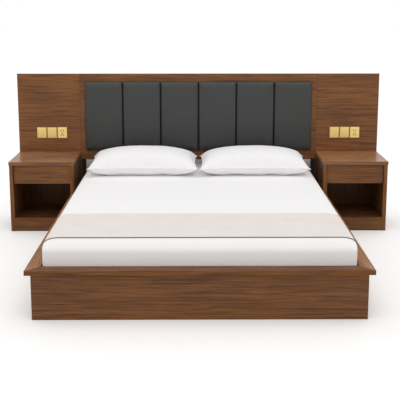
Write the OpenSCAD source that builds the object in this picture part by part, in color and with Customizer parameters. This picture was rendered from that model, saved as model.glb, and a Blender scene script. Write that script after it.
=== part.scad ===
// Platform bed with attached nightstands. A wall headboard with upholstered pads carries an
// open nightstand at each side, and a box base with an overhanging rim holds the mattress.
// X runs across the bed, Y from the foot to the headboard, and Z is up from the floor.
// The origin is on the floor at the centre of the whole plan, and left is the -X side.

/* [Mattress] */
// Width of the mattress
mattress_w = 1800; // [1400:10:2000]
// Length of the mattress
mattress_l = 2000; // [1900:10:2200]
// Thickness of the mattress
mattress_h = 200; // [160:5:300]
// Corner radius of the mattress in plan
mattress_corner_r = 60; // [20:5:150]
// How far the rounding of the long top edges reaches inwards
edge_roll_w = 88; // [40:1:120]
// How far the rounding of the long top edges reaches down
edge_roll_h = 42; // [20:1:70]
// Radius of the top edges at the foot and the head
foot_roll_r = 25; // [20:1:80]
// Radius of the bottom edges
bottom_roll_r = 18; // [5:1:40]
// Gap between the mattress and each side rim
mattress_side_gap = 7; // [5:0.5:20]
// Gap between the mattress and the foot rim
mattress_foot_gap = 4; // [1:0.5:20]
// Gap between the mattress and the headboard's face
mattress_head_gap = 2; // [1:0.5:20]

/* [Bedding] */
// Width of the runner along the bed
runner_w = 500; // [300:10:800]
// Distance from the mattress's foot end to the runner
runner_setback = 42; // [10:1:200]
// Thickness of the runner
runner_t = 3; // [1.5:0.5:4]
// How far the runner is tucked below the rim's top face
runner_tuck = 30; // [5:1:40]
// Width of a pillow between its corners
pillow_w = 845; // [600:5:860]
// Depth of a pillow from its front to its back
pillow_d = 390; // [300:2:500]
// Height of a pillow's crown above its seam
pillow_rise = 140; // [60:1:160]
// Depth of a pillow's underside below its seam before it flattens on the mattress
pillow_sag = 90; // [50:1:120]
// Height of the seam above the mattress at the middle of a pillow
pillow_seat = 56; // [30:1:80]
// Gap between the corners of the two pillows
pillow_gap = 7; // [2:1:30]
// Angle at which the pillows lean up against the pads
pillow_lean = 2.5; // [0:0.5:15]
// Thickness of a pillow at its seam
pillow_seam_t = 8; // [4:1:20]
// Share of a pillow's size by which its sides pull in between the corners
pillow_pull = 0.06; // [0:0.01:0.12]

/* [Bed base] */
// Height of the base panels
base_h = 274; // [220:1:350]
// Thickness of the base panels
base_t = 25; // [18:1:36]
// Thickness of the rim boards
rim_t = 28; // [18:1:40]
// Width of the rim boards
rim_w = 78; // [70:1:120]
// Overhang of the rim beyond the base panels
rim_overhang = 30; // [14:1:34]
// Depth of the slat deck below the top of the base panels
deck_drop = 24; // [10:1:40]
// Width of a slat
slat_w = 90; // [60:1:110]
// Thickness of a slat
slat_t = 20; // [14:1:28]
// Number of slats
slat_count = 14; // [10:1:15]
// Distance from the first and last slat to the end boards
slat_end_gap = 30; // [10:1:80]
// Gap between a slat's end and the side panel
slat_side_gap = 2; // [0.5:0.5:10]
// Width of the ledgers that carry the slats
ledger_w = 30; // [20:1:50]
// Height of the ledgers
ledger_h = 40; // [25:1:60]
// Width of the centre beam
beam_w = 60; // [40:1:90]
// Height of the centre beam
beam_h = 80; // [50:1:100]
// Radius of the centre legs
leg_r = 25; // [15:1:29]
// Number of centre legs
leg_count = 3; // [2:1:5]
// Radius of the glides under the legs
glide_r = 30; // [30:1:45]
// Height of the glides
glide_h = 8; // [4:1:15]
// Side length of the triangular corner blocks
block_side = 80; // [40:1:120]
// Gap between the base and the headboard
base_head_gap = 2; // [0.5:0.5:10]

/* [Joining bolts] */
// Radius of a bolt's shank
bolt_r = 4; // [3:0.5:6]
// Radius of a bolt's head
bolt_head_r = 8; // [7:0.5:12]
// Height of a bolt's head
bolt_head_h = 6; // [3:0.5:10]
// Radius of the spacer sleeve round a bolt
sleeve_r = 12; // [8:0.5:18]
// How far a bolt reaches into the nightstand's side
bolt_bite = 18; // [8:1:21]
// Height of the bolts above the floor
bolt_z = 150; // [115:1:180]
// Distance from the nightstand's front to the first bolt
bolt_inset = 80; // [40:1:120]
// Distance between the two bolts of a nightstand
bolt_pitch = 140; // [60:1:160]

/* [Headboard] */
// Height of the headboard
head_h = 1190; // [1160:1:1400]
// Thickness of the headboard boards
board_t = 25; // [18:1:36]
// Height of the lower edge of the centre board
centre_bottom = 490; // [465:1:530]
// Gap at the seams between the boards
seam_gap = 1.5; // [0.5:0.1:4]
// Distance from the nightstand's inner face to the seam
seam_inset = 4; // [1:0.5:10]
// Thickness of the battens behind the boards
batten_t = 25; // [20:1:45]
// Width of the battens
batten_w = 80; // [50:1:110]
// Distance from the headboard's edges to the batten frame
frame_inset = 40; // [10:1:60]
// Thickness of the dark lower board
lower_t = 18; // [12:1:20]
// Overlap of the lower board behind the centre board
lower_lap = 30; // [15:1:50]
// Height of the lower edge of the mattress stop pad
stop_pad_bottom = 300; // [260:1:340]
// Gap between the stop pad and the centre board above it
stop_pad_gap = 2; // [0.5:0.5:10]

/* [Upholstery] */
// Wood left bare between the seams and each end of the row of pads
pads_end_gap = 40.75; // [20:0.25:80]
// Height of the upholstered pads
pad_h = 568; // [400:1:580]
// Height of the pads' lower edge above the floor
pad_bottom = 560; // [550:1:620]
// How far the pads stand out of the boards
pad_t = 45; // [30:1:60]
// Radius of the pads' front edges
pad_edge_r = 14; // [5:1:17]
// Gap between neighbouring pads
pad_gap = 0.8; // [0.6:0.1:4]
// Thickness of the backing boards inside the pads
backer_t = 12; // [6:1:15]
// Distance from a pad's edge to its backing board
backer_inset = 12; // [6:1:30]

/* [Nightstands] */
// Width of a nightstand over its top
stand_w = 500; // [420:1:600]
// Depth of a nightstand
stand_d = 400; // [360:1:460]
// Height of a nightstand
stand_h = 550; // [510:1:580]
// Gap between the base panel and the nightstand's inner side
stand_gap = 8.5; // [4:0.5:12]
// Thickness of the side boards
side_t = 30; // [26:1:36]
// Thickness of the top
top_t = 26; // [18:1:36]
// Overhang of the top beyond the outer side
top_overhang = 4; // [0.5:0.5:10]
// Thickness of the bottom shelf
shelf_t = 30; // [18:1:36]
// Setback of the shelf and the plinth from the side boards' front edges
front_setback = 3; // [0.5:0.5:10]
// Depth of the housings that hold the shelf in the sides
housing_d = 5; // [3:0.5:8]
// Height of the plinth
plinth_h = 78; // [50:1:100]
// Thickness of the plinth
plinth_t = 18; // [12:1:25]
// Thickness of the back panel
back_t = 6; // [3:1:10]
// Clearance round the rim board in the groove of the inner side
groove_clear = 0.5; // [0.2:0.1:2]

/* [Drawers] */
// Height of a drawer front
drawer_front_h = 144; // [116:1:150]
// Thickness of a drawer front
drawer_front_t = 20; // [16:1:22]
// Setback of the drawer front from the side boards' front edges
drawer_setback = 14; // [1:0.5:16]
// Gap between the drawer front and the top
drawer_top_gap = 3; // [2:0.5:10]
// Gap between the drawer front and each side board
drawer_side_gap = 2.5; // [1:0.5:5]
// Height of the drawer sides
drawer_box_h = 88; // [60:1:95]
// Gap between the drawer box and the nightstand's back panel
drawer_back_gap = 15; // [5:1:100]
// Thickness of the drawer sides and back
drawer_box_t = 12; // [9:1:16]
// Height of the drawer sides above the drawer front's lower edge
drawer_box_lift = 12; // [4:1:20]
// Thickness of the drawer bottom
drawer_bottom_t = 6; // [3:1:9]
// Height of the drawer bottom above the lower edge of the drawer sides
drawer_bottom_lift = 10; // [6:1:16]
// Depth of the grooves that hold the drawer bottom
drawer_groove_d = 5; // [3:0.5:7]
// Space for the runners at each side of the drawer
runner_space = 13; // [12:0.5:18]
// Height of the cabinet runners
slide_h = 36; // [30:1:45]
// Thickness of the runners' steel
slide_t = 1.5; // [1:0.1:2]
// Height of the lips of a cabinet runner
slide_lip = 4; // [3:0.1:5]
// Running clearance inside the runners
slide_clear = 0.5; // [0.3:0.05:0.8]
// How far the runners stay clear of the drawer front
slide_front_gap = 5; // [2:1:20]

/* [Switch plates] */
// Width of a switch frame
frame_w = 80; // [78:1:90]
// Height of a switch frame
frame_h = 92; // [80:1:100]
// Thickness of the switch frames
frame_t = 8; // [7:0.5:12]
// Gap between neighbouring switch frames
frame_gap = 3; // [1:0.5:6]
// Width of a frame round its opening
frame_border = 3; // [2.5:0.1:5]
// Radius of a frame's outer corners
frame_corner_r = 3; // [1:0.5:6]
// Distance from the headboard's edge to the middle frame
frame_from_edge = 271; // [240:1:300]
// Height of the frames' middle above the floor
frame_z = 709; // [690:1:800]
// Gap between a rocker and its opening
rocker_gap = 0.5; // [0.4:0.1:1]
// Thickness of a rocker
rocker_t = 5; // [3:0.5:7]
// How far the faces stand out of the frame
face_proud = 2.5; // [1:0.5:5]
// Tilt of a rocker at rest
rocker_tilt = 3; // [1:0.5:3]
// Radius of the rocker's pivot pins
pivot_r = 1.5; // [1:0.1:2]
// Radial clearance of the pivot pins
pivot_clear = 0.05; // [0.02:0.01:0.1]
// How far the pivot pins reach into the frame
pivot_bite = 1.8; // [1:0.1:2]
// Thickness of the lugs that carry the pins
lug_t = 3; // [2:0.5:5]
// Thickness of a lug round its pin
lug_wall = 1.5; // [1:0.1:2]
// Thickness of the socket face
socket_t = 4; // [3:0.5:6]
// Chamfer of the front edges of the frame, the rockers and the socket faces
face_chamfer = 1; // [0.5:0.1:1.5]
// Width of the slots in the socket face
slot_w = 2.2; // [1.8:0.1:3]
// Length of the slots
slot_l = 8; // [6:0.5:10]
// Radius of the round middle of the two upper slots
slot_bulge_r = 2.4; // [1.5:0.1:3]
// Distance between the two upper slots
upper_slots_gap = 19; // [16:0.5:22]
// Height of the upper slots above the middle of the socket face
upper_slots_z = 17; // [10:1:24]
// Distance between the two slanted slots
slanted_slots_gap = 18; // [14:0.5:22]
// Depth of the slanted slots below the middle of the socket face
slanted_slots_drop = 19; // [14:1:26]
// Angle of the slanted slots
slot_slant = 30; // [20:1:40]
// Depth of the earth slot below the middle of the socket face
earth_slot_drop = 3; // [0:1:6]
// Depth of the wiring box behind each frame
wiring_box_d = 38; // [30:1:42]
// Thickness of a wiring box's walls
wiring_box_wall = 2; // [1.5:0.5:3]
// Distance from a frame's edge to its wiring box
wiring_box_inset = 2; // [1.5:0.1:2]
// Clearance of a wiring box in the wing board
wiring_box_clear = 0.5; // [0.3:0.1:0.8]

/* [Hidden] */

$fn = 48;
EPS = 1;              // how far a cutting tool runs past the face that it cuts
SOFT_GAP = 0.3;       // what soft pieces stay clear of their neighbours
PAD_COUNT = 6;        // upholstered pads side by side
ROCKER_GANGS = [1, 2];
SOCKET_GANG = 3;      // the last of the frames at each side
CURVE_STEPS = 8;      // straight steps in a quarter of the mattress's rounding
PILLOW_NX = 16;       // steps of a pillow's surface along its width
PILLOW_NY = 10;       // and along its depth
PILLOW_FULL_X = 2.2;  // the higher, the further a pillow stays full towards its sides
PILLOW_FULL_Y = 2.0;  // and towards its front and back

WALNUT = "#6f4a31";
BIRCH = "#cdb58c";
CHARCOAL = "#464646";
DARK_BOARD = "#2b2a29";
STOP_GREY = "#c9c7c4";
SHEET_WHITE = "#f2f1ef";
LINEN = "#dcd5cc";
BRASS = "#cdb36f";
STEEL = "#a9abad";
BOX_GREY = "#8a8d90";

// Widths across the bed, measured from the middle
rim_in_x = mattress_w / 2 + mattress_side_gap;
rim_out_x = rim_in_x + rim_w;
base_out_x = rim_out_x - rim_overhang;
base_in_x = base_out_x - base_t;
stand_in_x = base_out_x + stand_gap;
head_out_x = stand_in_x + stand_w;
seam_x = stand_in_x - seam_inset;

// Lengths from the foot to the headboard
bed_l = rim_w + mattress_foot_gap + mattress_l + mattress_head_gap;
total_d = bed_l + board_t + batten_t;
foot_y = -total_d / 2;
head_y = foot_y + bed_l;
board_back_y = head_y + board_t;
back_y = head_y + board_t + batten_t;
panel_y = foot_y + rim_overhang;
inner_y = panel_y + base_t;
base_end_y = head_y - base_head_gap;
rail_y = base_end_y - base_t;
mattress_y = foot_y + rim_w + mattress_foot_gap;

// Heights above the floor
rim_top_z = base_h + rim_t;
deck_z = base_h - deck_drop;
slat_under_z = deck_z - slat_t;
ledger_z = slat_under_z - ledger_h;
beam_z = slat_under_z - beam_h;
mattress_z = deck_z + SOFT_GAP;
mattress_body_h = mattress_h - SOFT_GAP;
mattress_top_z = deck_z + mattress_h;
lower_top_z = centre_bottom + lower_lap;
frame_top_z = head_h - frame_inset;

// Nightstand, on the right-hand side
stand_y = head_y - stand_d;
stand_front_y = stand_y + front_setback;
stand_back_y = head_y - back_t;
inner_face_x = stand_in_x + side_t;
side_out_x = head_out_x - top_overhang;
outer_face_x = side_out_x - side_t;
under_top_z = stand_h - top_t;
shelf_top_z = plinth_h + shelf_t;
bolt_ys = [stand_y + bolt_inset, stand_y + bolt_inset + bolt_pitch];
bolt_hole_r = bolt_r + SOFT_GAP;

// Drawer, on the right-hand side
front_x0 = inner_face_x + drawer_side_gap;
front_x1 = outer_face_x - drawer_side_gap;
front_top_z = under_top_z - drawer_top_gap;
front_low_z = front_top_z - drawer_front_h;
front_y = stand_y + drawer_setback;
box_y = front_y + drawer_front_t;
box_end_y = stand_back_y - drawer_back_gap;
box_x0 = inner_face_x + runner_space;
box_x1 = outer_face_x - runner_space;
box_low_z = front_low_z + drawer_box_lift;
box_top_z = box_low_z + drawer_box_h;
bottom_z = box_low_z + drawer_bottom_lift;
slide_z = (box_low_z + box_top_z) / 2;

// Pads
pads_w = 2 * (seam_x - seam_gap / 2 - pads_end_gap);
pad_w = pads_w / PAD_COUNT;
pad_face_y = head_y - pad_t;

// Switch plates
GANGS = concat(ROCKER_GANGS, [SOCKET_GANG]);
opening_w = frame_w - 2 * frame_border;
opening_h = frame_h - 2 * frame_border;
plates_x = head_out_x - frame_from_edge;
pivot_y = head_y - rocker_t;
rocker_face_y = head_y - frame_t - face_proud;

// A box between its lowest and its highest corner
module block(low, high) {
    translate(low) cube(high - low);
}

// A round bar along X
module bar_x(r, x0, x1, y, z) {
    translate([x0, y, z]) rotate([0, 90, 0]) cylinder(r = r, h = x1 - x0);
}

// A rectangle round the origin with rounded corners
module rounded_rectangle(w, h, r) {
    square([w - 2 * r, h], center = true);
    square([w, h - 2 * r], center = true);
    for (x = [-1, 1], y = [-1, 1])
        translate([x * (w / 2 - r), y * (h / 2 - r)]) circle(r = r);
}

// The right-hand piece drawn again at the left
module left() {
    mirror([1, 0, 0]) children();
}

module both_sides() {
    children();
    left() children();
}

// ---- Bed base ----

module foot_panel() {
    color(WALNUT) block([-base_out_x, panel_y, 0], [base_out_x, inner_y, base_h]);
}

module side_panel() {
    color(WALNUT) difference() {
        block([base_in_x, inner_y, 0], [base_out_x, base_end_y, base_h]);
        for (y = bolt_ys)
            bar_x(bolt_hole_r, base_in_x - EPS, base_out_x + EPS, y, bolt_z);
    }
}

module head_cross_rail() {
    color(BIRCH) block([-base_in_x, rail_y, 0], [base_in_x, base_end_y, deck_z]);
}

// The rim boards meet in mitres at the foot and carry the overhang all round.
module foot_rim() {
    outer = [[-rim_out_x, foot_y], [rim_out_x, foot_y]];
    inner = [[rim_in_x, foot_y + rim_w], [-rim_in_x, foot_y + rim_w]];
    color(WALNUT) translate([0, 0, base_h]) linear_extrude(rim_t) polygon(concat(outer, inner));
}

module side_rim() {
    outer = [[rim_out_x, foot_y], [rim_out_x, base_end_y]];
    inner = [[rim_in_x, base_end_y], [rim_in_x, foot_y + rim_w]];
    color(WALNUT) translate([0, 0, base_h]) linear_extrude(rim_t) polygon(concat(outer, inner));
}

module centre_beam() {
    color(BIRCH) block([-beam_w / 2, inner_y, beam_z], [beam_w / 2, rail_y, slat_under_z]);
}

module centre_legs() {
    spacing = (rail_y - inner_y) / leg_count;
    color(BIRCH) for (i = [0 : leg_count - 1])
        translate([0, inner_y + (i + 0.5) * spacing, 0]) {
            cylinder(r = glide_r, h = glide_h);
            cylinder(r = leg_r, h = beam_z);
        }
}

module slat_ledgers() {
    color(BIRCH) both_sides()
        block([base_in_x - ledger_w, inner_y, ledger_z], [base_in_x, rail_y, slat_under_z]);
}

// A slat has half-round long edges.
module slat_profile() {
    translate([-slat_w / 2 + slat_t / 2, -slat_t / 2]) square([slat_w - slat_t, slat_t]);
    for (side = [-1, 1])
        translate([side * (slat_w - slat_t) / 2, 0]) circle(d = slat_t);
}

module slats() {
    slat_l = 2 * (base_in_x - slat_side_gap);
    first_y = inner_y + slat_end_gap + slat_w / 2;
    last_y = rail_y - slat_end_gap - slat_w / 2;
    pitch = (last_y - first_y) / (slat_count - 1);
    color(BIRCH) for (i = [0 : slat_count - 1])
        translate([-slat_l / 2, first_y + i * pitch, deck_z - slat_t / 2])
            rotate([90, 0, 90]) linear_extrude(slat_l) slat_profile();
}

module corner_blocks() {
    foot = [[base_in_x, inner_y], [base_in_x, inner_y + block_side], [base_in_x - block_side, inner_y]];
    head = [[base_in_x, rail_y], [base_in_x - block_side, rail_y], [base_in_x, rail_y - block_side]];
    color(BIRCH) both_sides() linear_extrude(ledger_z) {
        polygon(foot);
        polygon(head);
    }
}

// Each bolt runs from inside the base through a spacer sleeve into the nightstand's side.
module joining_bolts() {
    tip_x = stand_in_x + bolt_bite;
    color(STEEL) both_sides() for (y = bolt_ys) {
        bar_x(bolt_head_r, base_in_x - bolt_head_h, base_in_x, y, bolt_z);
        bar_x(bolt_r, base_in_x, tip_x, y, bolt_z);
        difference() {
            bar_x(sleeve_r, base_out_x, stand_in_x, y, bolt_z);
            bar_x(bolt_hole_r, base_out_x - EPS, stand_in_x + EPS, y, bolt_z);
        }
    }
}

// ---- Mattress and bedding ----

// A quarter of an ellipse from angle a to a + 90
function quarter(cx, cy, rx, ry, a) =
    [for (i = [0 : CURVE_STEPS])
        let (t = a + 90 * i / CURVE_STEPS)
            [cx + rx * cos(t), cy + ry * sin(t)]];

// A section that stands on its lower edge, with its own rounding above and below. grow makes
// the same section larger all round, apart from its lower edge.
function section(w, h, top_w, top_h, low_r, grow = 0) =
    let (x = w / 2)
        concat(
            quarter(x - low_r, low_r, low_r + grow, low_r + grow, 270),
            quarter(x - top_w, h - top_h, top_w + grow, top_h + grow, 0),
            quarter(top_w - x, h - top_h, top_w + grow, top_h + grow, 90),
            quarter(low_r - x, low_r, low_r + grow, low_r + grow, 180));

module mattress_cross_section(grow = 0) {
    polygon(section(mattress_w, mattress_body_h, edge_roll_w, edge_roll_h, bottom_roll_r, grow));
}

module mattress() {
    middle_y = mattress_y + mattress_l / 2;
    color(SHEET_WHITE) translate([0, middle_y, mattress_z]) intersection() {
        rotate([90, 0, 0]) linear_extrude(mattress_l, center = true) mattress_cross_section();
        rotate([90, 0, 90]) linear_extrude(mattress_w, center = true)
            polygon(section(mattress_l, mattress_body_h, foot_roll_r, foot_roll_r, bottom_roll_r));
        linear_extrude(mattress_body_h)
            rounded_rectangle(mattress_w, mattress_l, mattress_corner_r);
    }
}

// The runner lies over the mattress and its ends are tucked in behind the rim.
module bed_runner() {
    low_z = rim_top_z - runner_tuck;
    front_y = mattress_y + runner_setback;
    color(LINEN) translate([0, front_y + runner_w, mattress_z]) rotate([90, 0, 0])
        linear_extrude(runner_w) difference() {
            mattress_cross_section(SOFT_GAP + runner_t);
            mattress_cross_section(SOFT_GAP);
            translate([-mattress_w, -mattress_h])
                square([2 * mattress_w, mattress_h + low_z - mattress_z]);
        }
}

// A pillow is a grid of points over and under its seam: thickest in the middle, thin at the
// seam, with sides that pull in between the corners, and flat where it lies on the mattress.
function pillow_swell(u, v) =
    sqrt((1 - pow(abs(u), PILLOW_FULL_X)) * (1 - pow(abs(v), PILLOW_FULL_Y)));
function pillow_point(u, v, side) =
    let (
        x = u * (pillow_w / 2) * (1 - pillow_pull * (1 - v * v)),
        y = v * (pillow_d / 2) * (1 - pillow_pull * (1 - u * u)),
        reach = side > 0 ? pillow_rise : pillow_sag,
        z = side * (pillow_seam_t / 2 + (reach - pillow_seam_t / 2) * pillow_swell(u, v)),
        tilted_y = y * cos(pillow_lean) - z * sin(pillow_lean),
        tilted_z = y * sin(pillow_lean) + z * cos(pillow_lean)
    )
        [x, tilted_y, max(tilted_z, -pillow_seat)];
pillow_points = [
    for (side = [1, -1], j = [0 : PILLOW_NY], i = [0 : PILLOW_NX])
        pillow_point(sin(180 * i / PILLOW_NX - 90), sin(180 * j / PILLOW_NY - 90), side)
];

function pillow_index(side, j, i) = (side * (PILLOW_NY + 1) + j) * (PILLOW_NX + 1) + i;
function pillow_rim(k) =
    k < PILLOW_NX ? [0, k]
    : k < PILLOW_NX + PILLOW_NY ? [k - PILLOW_NX, PILLOW_NX]
    : k < 2 * PILLOW_NX + PILLOW_NY ? [PILLOW_NY, 2 * PILLOW_NX + PILLOW_NY - k]
    : [2 * (PILLOW_NX + PILLOW_NY) - k, 0];
pillow_rim_n = 2 * (PILLOW_NX + PILLOW_NY);
pillow_faces = concat(
    [for (j = [0 : PILLOW_NY - 1], i = [0 : PILLOW_NX - 1], half = [0, 1])
        half == 0
            ? [pillow_index(0, j, i), pillow_index(0, j + 1, i), pillow_index(0, j + 1, i + 1)]
            : [pillow_index(0, j, i), pillow_index(0, j + 1, i + 1), pillow_index(0, j, i + 1)]],
    [for (j = [0 : PILLOW_NY - 1], i = [0 : PILLOW_NX - 1], half = [0, 1])
        half == 0
            ? [pillow_index(1, j, i), pillow_index(1, j + 1, i + 1), pillow_index(1, j + 1, i)]
            : [pillow_index(1, j, i), pillow_index(1, j, i + 1), pillow_index(1, j + 1, i + 1)]],
    [for (k = [0 : pillow_rim_n - 1], half = [0, 1])
        let (a = pillow_rim(k), b = pillow_rim((k + 1) % pillow_rim_n))
            half == 0
                ? [pillow_index(0, a[0], a[1]), pillow_index(0, b[0], b[1]), pillow_index(1, b[0], b[1])]
                : [pillow_index(0, a[0], a[1]), pillow_index(1, b[0], b[1]), pillow_index(1, a[0], a[1])]]
);

module pillow() {
    x = pillow_w / 2 + pillow_gap / 2;
    y = pad_face_y - SOFT_GAP - max([for (p = pillow_points) p[1]]);
    z = mattress_top_z + SOFT_GAP - min([for (p = pillow_points) p[2]]);
    color(SHEET_WHITE) translate([x, y, z])
        polyhedron(points = pillow_points, faces = pillow_faces);
}

// ---- Headboard ----

// Draws at the place of a frame; side is -1 for the left-hand row and 1 for the right-hand one.
module at_gang(side, gang) {
    x = (gang - (SOCKET_GANG + 1) / 2) * (frame_w + frame_gap);
    translate([side * plates_x + x, 0, frame_z]) children();
}

// The space of a wiring box behind a frame, with its front open_front before the boards
module wiring_box_space(clear, open_front) {
    half_w = frame_w / 2 - wiring_box_inset + clear;
    half_h = frame_h / 2 - wiring_box_inset + clear;
    block([-half_w, head_y - open_front, -half_h], [half_w, head_y + wiring_box_d, half_h]);
}

module wing_panel() {
    color(WALNUT) difference() {
        block([seam_x + seam_gap / 2, head_y, 0], [head_out_x, board_back_y, head_h]);
        for (gang = GANGS) at_gang(1, gang) wiring_box_space(wiring_box_clear, EPS);
    }
}

module centre_panel() {
    x = seam_x - seam_gap / 2;
    color(WALNUT) block([-x, head_y, centre_bottom], [x, board_back_y, head_h]);
}

// Two long rails behind the three boards join them, and stiles stand between and below them.
rail_zs = [lower_top_z, frame_top_z - batten_w];
rail_x = head_out_x - frame_inset;

module back_rails() {
    color(BIRCH) for (z = rail_zs)
        block([-rail_x, board_back_y, z], [rail_x, back_y, z + batten_w]);
}

module stile(x, z0, z1) {
    block([x, board_back_y, z0], [x + batten_w, back_y, z1]);
}

module back_stiles() {
    color(BIRCH) both_sides() {
        for (x = [stand_in_x, rail_x - batten_w]) {
            stile(x, 0, rail_zs[0]);
            stile(x, rail_zs[0] + batten_w, rail_zs[1]);
        }
        stile(pad_w, rail_zs[0] + batten_w, rail_zs[1]);
    }
}

module lower_back_panel() {
    x = stand_in_x - SOFT_GAP;
    color(DARK_BOARD) block([-x, board_back_y, 0], [x, board_back_y + lower_t, lower_top_z]);
}

module mattress_stop_pad() {
    x = pads_w / 2;
    color(STOP_GREY) block([-x, head_y + SOFT_GAP, stop_pad_bottom],
                           [x, board_back_y - SOFT_GAP, centre_bottom - stop_pad_gap]);
}

function pad_x(i) = (i - (PAD_COUNT + 1) / 2) * pad_w;

module backer_space(i, clear) {
    half_w = pad_w / 2 - backer_inset + clear;
    block([pad_x(i) - half_w, head_y - backer_t - clear, pad_bottom + backer_inset - clear],
          [pad_x(i) + half_w, head_y, pad_bottom + pad_h - backer_inset + clear]);
}

module pad_backboards() {
    color(BIRCH) for (i = [1 : PAD_COUNT]) backer_space(i, 0);
}

// A face outline whose two front corners are rounded, w wide and d deep, front at y = 0
module cushion_outline(w, d, r) {
    translate([-w / 2, r]) square([w, d - r]);
    translate([-w / 2 + r, 0]) square([w - 2 * r, d]);
    for (side = [-1, 1])
        translate([side * (w / 2 - r), r]) circle(r = r);
}

module upholstered_panel(i) {
    depth = pad_t - SOFT_GAP;
    color(CHARCOAL) difference() {
        translate([pad_x(i), pad_face_y, pad_bottom]) intersection() {
            linear_extrude(pad_h) cushion_outline(pad_w - pad_gap, depth, pad_edge_r);
            translate([-pad_w / 2, 0, pad_h / 2]) rotate([0, 90, 0]) linear_extrude(pad_w)
                cushion_outline(pad_h, depth, pad_edge_r);
        }
        backer_space(i, SOFT_GAP);
    }
}

// ---- Switch plates ----

// A flat plate in the headboard's plane, from y0 to y1, from an outline round the origin
module plate(y0, y1) {
    translate([0, y1, 0]) rotate([90, 0, 0]) linear_extrude(y1 - y0) children();
}

// A rectangle w wide and d deep whose two front corners are chamfered, front at y = 0
module chamfered_outline(w, d) {
    x = w / 2;
    polygon([[face_chamfer - x, 0], [x - face_chamfer, 0], [x, face_chamfer],
             [x, d], [-x, d], [-x, face_chamfer]]);
}

// A block w wide and h high round the origin, from y0 to y1, with chamfered front edges
module chamfered_block(w, h, y0, y1) {
    translate([0, y0, 0]) intersection() {
        linear_extrude(h, center = true) chamfered_outline(w, y1 - y0);
        rotate([0, 90, 0]) linear_extrude(w, center = true) chamfered_outline(h, y1 - y0);
    }
}

module pivot_bore() {
    reach = opening_w / 2 + pivot_bite + pivot_clear;
    bar_x(pivot_r + pivot_clear, -reach, reach, pivot_y, 0);
}

module switch_frames() {
    face_y = head_y - frame_t;
    color(BRASS) for (side = [-1, 1], gang = GANGS) at_gang(side, gang) difference() {
        intersection() {
            plate(face_y, head_y) rounded_rectangle(frame_w, frame_h, frame_corner_r);
            chamfered_block(frame_w, frame_h, face_y, head_y);
        }
        plate(face_y - EPS, head_y + EPS) square([opening_w, opening_h], center = true);
        if (gang != SOCKET_GANG) pivot_bore();
    }
}

// Two slots with a round middle above, and an earth slot and two slanted ones below
module socket_slots() {
    for (side = [-1, 1]) {
        translate([side * upper_slots_gap / 2, upper_slots_z]) {
            square([slot_w, slot_l], center = true);
            circle(r = slot_bulge_r);
        }
        translate([side * slanted_slots_gap / 2, -slanted_slots_drop])
            rotate(side * slot_slant) square([slot_w, slot_l], center = true);
    }
    translate([0, -earth_slot_drop]) square([slot_w, slot_l], center = true);
}

module socket_faces() {
    back = rocker_face_y + socket_t;
    color(BRASS) for (side = [-1, 1]) at_gang(side, SOCKET_GANG) difference() {
        chamfered_block(opening_w, opening_h, rocker_face_y, back);
        plate(rocker_face_y - EPS, back + EPS) socket_slots();
    }
}

module wiring_boxes() {
    half_w = frame_w / 2 - wiring_box_inset - wiring_box_wall;
    half_h = frame_h / 2 - wiring_box_inset - wiring_box_wall;
    floor_y = head_y + wiring_box_d - wiring_box_wall;
    color(BOX_GREY) for (side = [-1, 1], gang = GANGS) at_gang(side, gang) difference() {
        wiring_box_space(0, 0);
        block([-half_w, head_y - EPS, -half_h], [half_w, floor_y, half_h]);
    }
}

// A rocker is a flat face on two lugs, whose pins turn in the frame. It rests tilted.
module rocker(side, gang) {
    half_w = opening_w / 2 - rocker_gap;
    half_h = opening_h / 2 - rocker_gap;
    lug_r = pivot_r + lug_wall;
    back = rocker_face_y + rocker_t;
    color(BRASS) at_gang(side, gang) translate([0, pivot_y, 0]) rotate([rocker_tilt, 0, 0])
        translate([0, -pivot_y, 0]) {
            chamfered_block(2 * half_w, 2 * half_h, rocker_face_y, back);
            for (x = [-half_w, half_w - lug_t]) {
                block([x, back, -lug_r], [x + lug_t, pivot_y, lug_r]);
                bar_x(lug_r, x, x + lug_t, pivot_y, 0);
            }
            bar_x(pivot_r, -opening_w / 2 - pivot_bite, -half_w + lug_t, pivot_y, 0);
            bar_x(pivot_r, half_w - lug_t, opening_w / 2 + pivot_bite, pivot_y, 0);
        }
}

// ---- Nightstands, drawn at the right ----

module shelf_block() {
    block([inner_face_x - housing_d, stand_front_y, plinth_h],
          [outer_face_x + housing_d, stand_back_y, shelf_top_z]);
}

module stand_top() {
    color(WALNUT) block([stand_in_x, stand_y, under_top_z], [head_out_x, head_y, stand_h]);
}

module outer_side() {
    color(WALNUT) difference() {
        block([outer_face_x, stand_y, 0], [side_out_x, head_y, under_top_z]);
        shelf_block();
    }
}

// The groove takes the overhang of the bed's rim, so the nightstand and the base interlock.
module inner_side() {
    color(WALNUT) difference() {
        block([stand_in_x, stand_y, 0], [inner_face_x, head_y, under_top_z]);
        shelf_block();
        block([stand_in_x - EPS, stand_y - EPS, base_h - groove_clear],
              [rim_out_x + groove_clear, head_y + EPS, rim_top_z + groove_clear]);
        for (y = bolt_ys)
            bar_x(bolt_hole_r, stand_in_x - EPS, stand_in_x + bolt_bite + SOFT_GAP, y, bolt_z);
    }
}

module bottom_shelf() {
    color(WALNUT) shelf_block();
}

module plinths() {
    color(WALNUT) both_sides() block([inner_face_x, stand_front_y, 0],
                                     [outer_face_x, stand_front_y + plinth_t, plinth_h]);
}

module back_panel() {
    color(WALNUT) block([inner_face_x, stand_back_y, 0], [outer_face_x, head_y, under_top_z]);
}

// ---- Drawers, drawn at the right ----

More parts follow.
